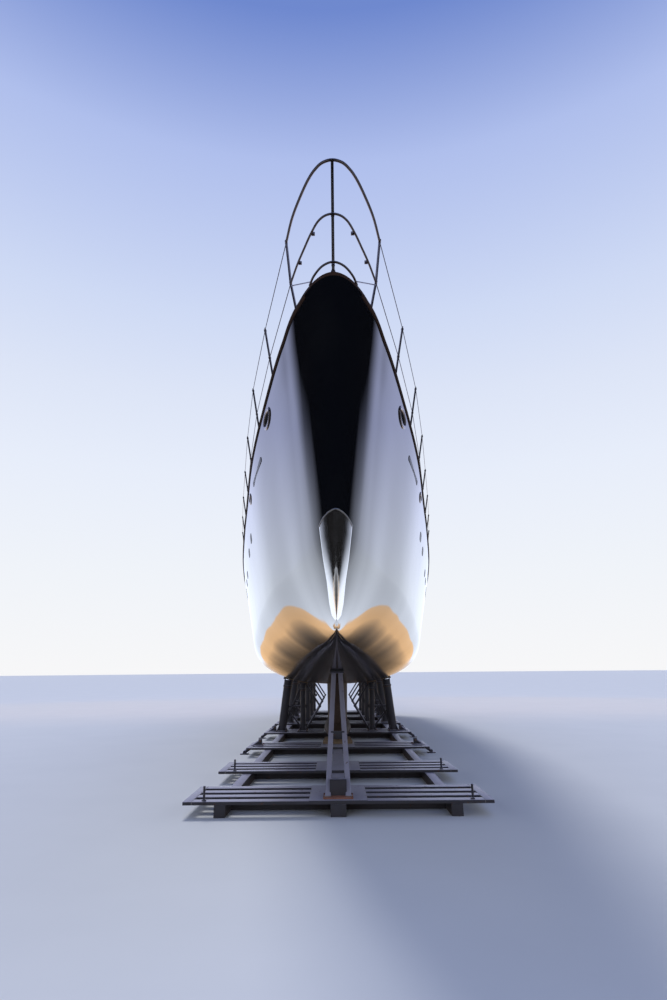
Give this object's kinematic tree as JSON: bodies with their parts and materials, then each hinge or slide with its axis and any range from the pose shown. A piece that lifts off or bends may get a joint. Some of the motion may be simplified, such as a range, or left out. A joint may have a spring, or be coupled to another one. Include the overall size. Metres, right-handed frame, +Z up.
{
  "type": "sailing yacht on a steel cradle",
  "caption": "Large modern sailing yacht with a gloss black hull, flush teak deck, low deckhouse, twin helms and fin keel, mast unstepped, laid up ashore on a welded steel cradle.",
  "frame": {"origin": "centre of the bounding box on the floor, under the cradle", "axes": "+Z up, the bow points to -Y, +X is the port side"},
  "size_m": [7.8588, 36.4351, 7.8529],
  "materials": {
    "hull_black": "mirror gloss black topcoat",
    "teak": "laid teak, dark seams, varnished toe rail",
    "polished_steel": "polished stainless steel",
    "white_paint": "gloss off-white paint",
    "dark_glass": "dark tinted bonded glazing",
    "antifoul": "matt brown underwater paint",
    "bronze": "cast bronze, lightly dulled",
    "cushion": "woven cover",
    "cradle_steel": "worn grey paint with rust at welds",
    "timber": "rough sawn hardwood",
    "carbon": "clear-coated black composite"
  },
  "bodies": {
    "yacht": {"hull": "hull_black", "deck_planking": "teak", "toe_rail": "teak", "stem_plate": "polished_steel", "fairlead_fwd_port": "polished_steel", "fairlead_fwd_stbd": "polished_steel", "fairlead_aft_port": "polished_steel", "fairlead_aft_stbd": "polished_steel", "pulpit": "polished_steel", "rail_port": "polished_steel", "rail_stbd": "polished_steel", "pushpit": "polished_steel", "deckhouse_shell": "white_paint", "deckhouse_glass": "dark_glass", "deckhouse_roof": "white_paint", "saloon_sofa_port": "cushion", "saloon_sofa_stbd": "cushion", "mast_step": "white_paint", "coaming_port": "white_paint", "coaming_stbd": "white_paint", "cockpit_bench_port": "cushion", "cockpit_bench_stbd": "cushion", "cockpit_table": "teak", "helm_pedestal_port": "carbon", "helm_pedestal_stbd": "carbon", "winch_fwd_port": "polished_steel", "winch_fwd_stbd": "polished_steel", "winch_aft_port": "polished_steel", "winch_aft_stbd": "polished_steel", "keel_fin": "antifoul", "keel_bulb": "antifoul", "shaft_bracket": "bronze", "cradle_spine": "cradle_steel", "cradle_beam_port": "cradle_steel", "cradle_beam_stbd": "cradle_steel", "cradle_bay_1": "cradle_steel", "cradle_bay_2": "cradle_steel", "cradle_bay_3": "cradle_steel", "cradle_bay_4": "cradle_steel", "cradle_bay_5": "cradle_steel", "cradle_bay_6": "cradle_steel", "cradle_bay_7": "cradle_steel", "bow_shore": "cradle_steel", "keel_block_fwd": "timber", "keel_block_aft": "timber"},
    "rudder": {"rudder": "antifoul"},
    "wheel_port": {"steering_wheel_port": "carbon"},
    "wheel_stbd": {"steering_wheel_stbd": "carbon"},
    "propeller": {"propeller": "bronze"},
    "companion_door": {"companionway_door": "dark_glass"},
    "transom_door": {"transom_door": "hull_black"},
    "anchor_lid": {"anchor_locker_lid": "teak"},
    "fore_lid": {"fore_hatch_lid": "dark_glass"},
    "mid_lid": {"mid_hatch_lid": "dark_glass"}
  },
  "joints": [
    {"name": "rudder_turn", "type": "hinge", "parent": "yacht", "child": "rudder", "pos_m": [0, 13.568, 2.5], "axis": [0, 0, 1], "range_deg": [-35, 35]},
    {"name": "wheel_port_turn", "type": "hinge", "parent": "yacht", "child": "wheel_port", "pos_m": [1.75, 10.8283, 6.3503], "axis": [0, -1, 0], "range_deg": [-351, 351]},
    {"name": "wheel_stbd_turn", "type": "hinge", "parent": "yacht", "child": "wheel_stbd", "pos_m": [-1.75, 10.8283, 6.3503], "axis": [0, -1, 0], "range_deg": [-351, 351]},
    {"name": "propeller_spin", "type": "hinge", "parent": "yacht", "child": "propeller", "pos_m": [0, 9.968, 1.69], "axis": [0, 0.9748, -0.2232], "continuous": true},
    {"name": "companion_door_swing", "type": "hinge", "parent": "yacht", "child": "companion_door", "pos_m": [0.409, 4.2195, 6], "axis": [0, 0, -1], "range_deg": [0, 110]},
    {"name": "transom_door_fold", "type": "hinge", "parent": "yacht", "child": "transom_door", "pos_m": [0, 18.224, 3.947], "axis": [-1, 0, 0], "range_deg": [0, 90]},
    {"name": "anchor_lid_lift", "type": "hinge", "parent": "yacht", "child": "anchor_lid", "pos_m": [0, -15.685, 6.645], "axis": [1, 0, 0], "range_deg": [0, 80]},
    {"name": "fore_lid_lift", "type": "hinge", "parent": "yacht", "child": "fore_lid", "pos_m": [0, -11.485, 6.42], "axis": [1, 0, 0], "range_deg": [0, 90]},
    {"name": "mid_lid_lift", "type": "hinge", "parent": "yacht", "child": "mid_lid", "pos_m": [0, -7.785, 6.293], "axis": [1, 0, 0], "range_deg": [0, 90]}
  ],
  "couplings": [
    {"joint": "wheel_port_turn", "follows": "rudder_turn", "ratio": 10},
    {"joint": "wheel_stbd_turn", "follows": "rudder_turn", "ratio": 10}
  ]
}
